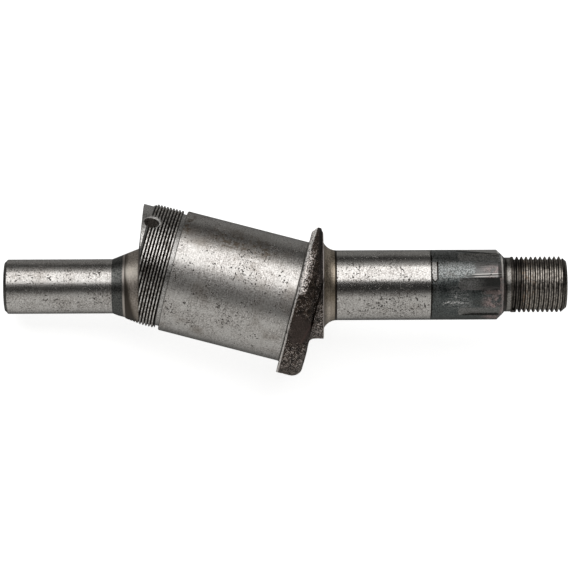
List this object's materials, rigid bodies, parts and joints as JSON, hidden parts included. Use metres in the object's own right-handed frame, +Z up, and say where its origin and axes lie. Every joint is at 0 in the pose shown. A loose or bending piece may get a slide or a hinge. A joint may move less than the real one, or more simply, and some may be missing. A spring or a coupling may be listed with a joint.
{
  "type": "eccentric shaft",
  "caption": "One-piece forged and turned steel shaft with an inclined journal and flange, journals at both ends, grooved drive section and threaded end.",
  "frame": {"origin": "middle of the footprint, on the surface that the shaft lies on", "axes": "+Z up, +X along the spindle's plan view from the plain journal to the threaded end; the spindle rises 6.8 degrees towards that end, as the shaft lies on its flange rim and head rim"},
  "size_m": [0.3616, 0.1108, 0.0964],
  "materials": {
    "steel": "ground journals, forged skin on the flange"
  },
  "bodies": {
    "root": {"eccentric_shaft": "steel"}
  },
  "joints": []
}
